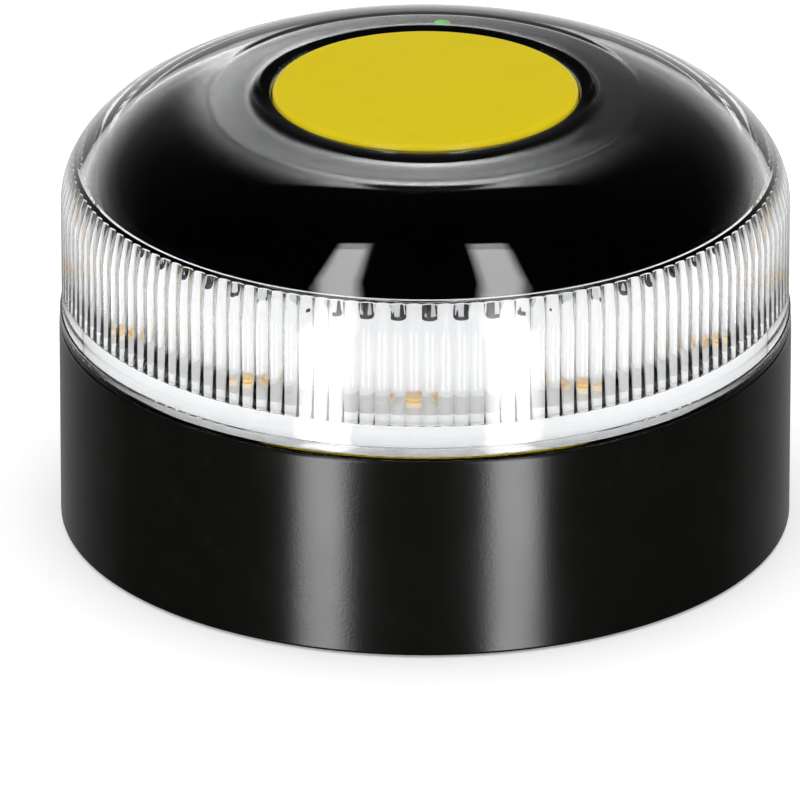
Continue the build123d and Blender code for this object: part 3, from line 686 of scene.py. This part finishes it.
groove_shade_points, groove_shade_faces = [], []
groove_shade_blocks = [
    ((SHADE_STRIP_R0, y - SHADE_STRIP_HALF, SHADE_BAR_HIGH), (SHADE_STRIP_R1, y + SHADE_STRIP_HALF, SHADE_STRIP_HIGH)) for y in (-SHADE_STRIP_PITCH, 0.0, SHADE_STRIP_PITCH)
]
groove_shade_blocks.append(((SHADE_STRIP_R0, -SHADE_BAR_HALF, SHADE_BAR_LOW), (SHADE_STRIP_R1, SHADE_BAR_HALF, SHADE_BAR_HIGH)))
for number in range(TEETH):
    angle = radians(TOOTH_START + 360 / TEETH * number)
    for low_corner, high_corner in groove_shade_blocks:
        corners, sides = box_corners(low_corner, high_corner)
        start = len(groove_shade_points)
        for x, y, z in corners:
            groove_shade_points.append(
                ((x * cos(angle) - y * sin(angle)) * MM, (x * sin(angle) + y * cos(angle)) * MM, z * MM)
            )
        groove_shade_faces += [tuple(start + corner for corner in side) for side in sides]
# The painted groove shade on the teeth, as one mesh in the black moulding.
comb = mesh_piece("comb_painted_groove_shade", groove_shade_points, groove_shade_faces)
comb.data.materials.append(black_moulding)
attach(comb, "housing")

# ---------------------------------------------------------------------------------------------
# Status light. A clear rod pushed up through the black dome and cut off flush with its slope;
# the green chip under its foot lights the rod from end to end.
# ---------------------------------------------------------------------------------------------
rod_low, rod_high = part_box("status_light_pipe")
ROD_SIDES = 40
rod_centre = (rod_low + rod_high) / 2 / MM
rod_r = (rod_high.x - rod_low.x) / 2 / MM
rod_rings = [(rod_r, None), (rod_r, -0.05), (rod_r - 0.06, 0.03), (rod_r * 0.66, 0.035), (rod_r * 0.33, 0.04)]
rod_points, rod_faces = [], []
shroud_crease = crease_height_of(SHROUD_REACH, SHROUD_RISE, INNER_CREASE_R)
for ring_r, proud in rod_rings:
    for i in range(ROD_SIDES):
        angle = 2 * pi * i / ROD_SIDES
        x, y = rod_centre.x + ring_r * cos(angle), rod_centre.y + ring_r * sin(angle)
        dome_z = shroud_crease + CONE_SLOPE * (INNER_CREASE_R - sqrt(x * x + y * y))
        z = rod_low.z / MM if proud is None else dome_z + proud
        rod_points.append((x * MM, y * MM, z * MM))
for ring in range(len(rod_rings) - 1):
    for i in range(ROD_SIDES):
        start, after = ring * ROD_SIDES, (i + 1) % ROD_SIDES
        rod_faces.append((start + i, start + after, start + ROD_SIDES + after, start + ROD_SIDES + i))
rod_faces.append(tuple(range(ROD_SIDES))[::-1])
rod_faces.append(tuple(range((len(rod_rings) - 1) * ROD_SIDES, len(rod_rings) * ROD_SIDES)))
rod = mesh_piece("light_rod", rod_points, rod_faces)
rod.data.shade_smooth()
rod.data.set_sharp_from_angle(angle=radians(40))
rod.data.materials.append(green_light)
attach(rod, "housing")
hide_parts("status_light_pipe")

# ---------------------------------------------------------------------------------------------
# Push button. One yellow moulding with a slightly crowned matt face and a polished-off edge,
# which slides in the well on its seal and a coil spring.
# ---------------------------------------------------------------------------------------------
BUTTON_R, FACE_R, BUTTON_EDGE = 20.8, 20.0, 0.8
BUTTON_TOP, BUTTON_CROWN = 62.4, 0.25
GROOVE_R, SKIRT_R, STEM_R = 20.05, 18.8, 3.0
PLATE_Z, STEM_Z = 60.7, 52.5
CROWN_STEPS = 24
crown = [
    (FACE_R * i / CROWN_STEPS, BUTTON_TOP + BUTTON_CROWN * (1 - (i / CROWN_STEPS) ** 2))
    for i in range(1, CROWN_STEPS + 1)
]
edge = [
    (FACE_R + BUTTON_EDGE * sin(radians(9 * i)), BUTTON_TOP - BUTTON_EDGE + BUTTON_EDGE * cos(radians(9 * i)))
    for i in range(1, 11)
]
skirt = [
    (BUTTON_R, 60.3), (20.75, 60.2), (GROOVE_R, 60.2), (GROOVE_R, 59.0), (20.75, 59.0), (BUTTON_R, 58.9),
    (BUTTON_R, 57.7), (20.7, 57.6), (18.9, 57.6), (SKIRT_R, 57.7), (SKIRT_R, PLATE_Z), (STEM_R, PLATE_Z),
    (STEM_R, 52.6), (2.9, STEM_Z), (0.02, STEM_Z), (0.02, BUTTON_TOP + BUTTON_CROWN),
]
button = turned_piece("yellow_button", crown + edge + skirt)
yellow, tree, shader = bare_material("yellow_cap")
shader.inputs["Specular IOR Level"].default_value = 0.35
cap_skin = place_group(tree, moulded_skin, Grain=2200.0, Smoothest=0.2, Roughest=0.27)
cap_tint = maths(tree, "MULTIPLY", cap_skin.outputs["Handling"], 0.35)
join(tree, mixed(tree, cap_tint, (0.72, 0.565, 0.0025), (0.66, 0.5, 0.004)), shader.inputs["Base Color"])
join(tree, cap_skin.outputs["Roughness"], shader.inputs["Roughness"])
bumped(tree, shader, cap_skin.outputs["Height"], 0.000006)
button.data.materials.append(yellow)
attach(button, "power_button")
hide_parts("power_button")

# ---------------------------------------------------------------------------------------------
# Lens. One clear polycarbonate moulding: welding flange, straight wall with upright flutes
# inside, a ledge above them, and the dome that closes over the black one, open for the button.
# ---------------------------------------------------------------------------------------------
LENS_R, FLANGE_R = 49.65, 49.9
FLANGE_FOOT, FLANGE_TOP = 28.9, 30.7
OUTER_RISE = 16.1
CREASE_R, CONE_TOP = 29.3, 61.95
FLUTES, FLUTE_DEPTH = 144, 0.27
FLUTE_LOW, FLUTE_HIGH = 33.2, 50.4
STEPS_PER_FLUTE = 10
CREASE_START = radians(TOOTH_START + 180 / FLUTES)
outer_reach = LENS_R - SHOULDER_R
inner_reach = LENS_INNER_R - SHOULDER_R
crease_z = crease_height_of(outer_reach, OUTER_RISE, CREASE_R)
lens_outline = [
    (LENS_INNER_R + 0.1, FLANGE_FOOT), (FLANGE_R - 0.2, FLANGE_FOOT), (FLANGE_R - 0.06, 28.96),
    (FLANGE_R, 29.1), (FLANGE_R, FLANGE_TOP - 0.2), (FLANGE_R - 0.05, FLANGE_TOP - 0.06),
    (LENS_R + 0.08, FLANGE_TOP),
    (LENS_R, FLANGE_TOP + 0.08), (LENS_R, 36.0), (LENS_R, 41.0),
]
lens_outline += ellipse(outer_reach, OUTER_RISE, SHOULDER_Z, crease_z, 44)
lens_outline += [
    (25.0, 61.76), (MOUTH_R + 0.5, CONE_TOP), (MOUTH_R + 0.15, CONE_TOP - 0.1), (MOUTH_R, CONE_TOP - 0.4),
    (MOUTH_R, 60.5),
]
lens_outline += dome_outline(inner_reach, INNER_RISE, FLUTE_HIGH, 44)[::-1]
flute_from = len(lens_outline)
lens_outline += [
    (LENS_INNER_R - 0.1, FLUTE_HIGH), (LENS_INNER_R, FLUTE_HIGH - 0.1), (LENS_INNER_R, 45.0),
    (LENS_INNER_R, 39.0), (LENS_INNER_R, FLUTE_LOW + 0.1), (LENS_INNER_R - 0.05, FLUTE_LOW),
]
flute_to = len(lens_outline)
lens_outline += [(LENS_INNER_R, FLUTE_LOW - 0.05), (LENS_INNER_R, 29.0)]
half_pitch = pi / FLUTES * LENS_INNER_R
flute_arc = (half_pitch**2 + FLUTE_DEPTH**2) / (2 * FLUTE_DEPTH)


def fluted(index, radius, angle):
    """Radius with a flute's hump taken off, for the points of the fluted wall."""
    if not flute_from <= index < flute_to:
        return radius
    place = ((angle - CREASE_START) / (2 * pi / FLUTES)) % 1.0
    across = (2 * place - 1) * half_pitch
    return radius - (sqrt(flute_arc**2 - across**2) - flute_arc + FLUTE_DEPTH)


def started(shape):
    """The same shape, turned so that a flute's edge lies on the mesh's first line of points."""
    return lambda index, radius, angle: shape(index, radius, angle + CREASE_START)


lens = turned_piece("clear_lens", lens_outline, FLUTES * STEPS_PER_FLUTE, started(fluted))
lens.data.transform(Matrix.Rotation(CREASE_START, 4, "Z"))
clear, tree, shader = bare_material("clear_polycarbonate")
shader.inputs["Base Color"].default_value = (0.985, 0.99, 0.995, 1)
shader.inputs["Transmission Weight"].default_value = 1.0
shader.inputs["Metallic"].default_value = 0.0
shader.inputs["IOR"].default_value = 1.58
place = tree.nodes.new("ShaderNodeTexCoord").outputs["Object"]
flow = noise(tree, place, 45.0, 2.0, 0.5)
join(tree, stretch(tree, noise(tree, place, 160.0, 4.0, 0.6), 0.0, 0.02), shader.inputs["Roughness"])
bumped(tree, shader, flow, 0.00004)
lens.data.materials.append(clear)
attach(lens, "housing")
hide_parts("lens_dome")
